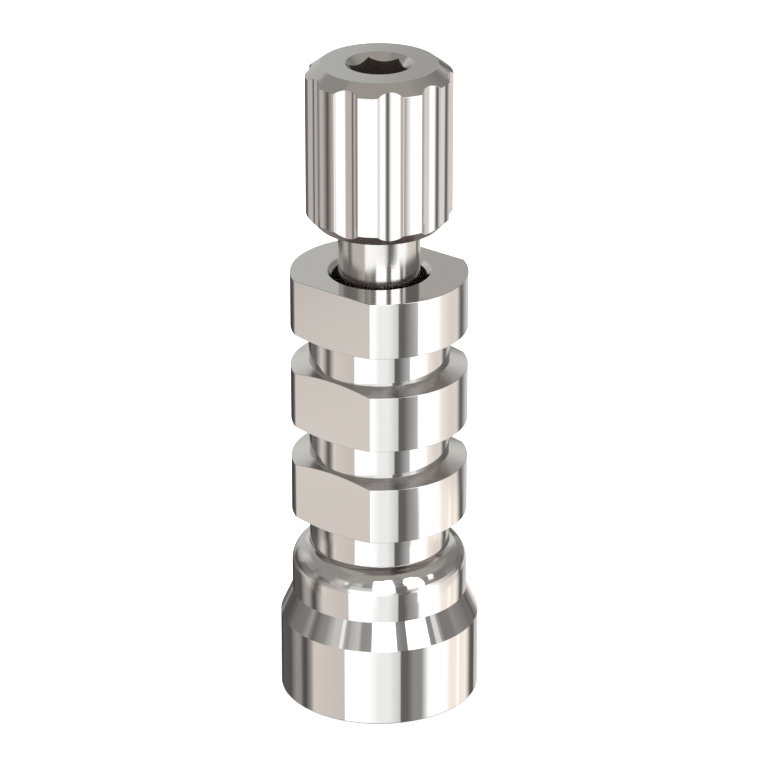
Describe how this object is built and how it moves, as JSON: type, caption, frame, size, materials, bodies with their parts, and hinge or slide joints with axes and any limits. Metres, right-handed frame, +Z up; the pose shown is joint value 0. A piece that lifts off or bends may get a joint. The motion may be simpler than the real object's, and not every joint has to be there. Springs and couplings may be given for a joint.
{
  "type": "impression coping",
  "caption": "Open-tray dental impression coping: a turned metal post with flatted retention rings on a round base, and a fluted finger screw with a hex socket running through it.",
  "frame": {"origin": "centre of the platform at the bottom of the base, which seats on the abutment", "axes": "+Z up along the turning axis towards the screw head; the flats of the retention rings face -Y and +Y"},
  "size_m": [0.005, 0.005, 0.0167],
  "materials": {
    "coping_metal": "bright turned and polished titanium alloy",
    "screw_metal": "bright turned and polished titanium alloy"
  },
  "bodies": {
    "coping": {"coping_body": "coping_metal"},
    "screw": {"guide_screw": "screw_metal"}
  },
  "joints": [
    {"name": "screw_turn", "type": "hinge", "parent": "coping", "child": "screw", "pos_m": [0, 0, 0.0033], "axis": [0, 0, 1], "continuous": true}
  ]
}
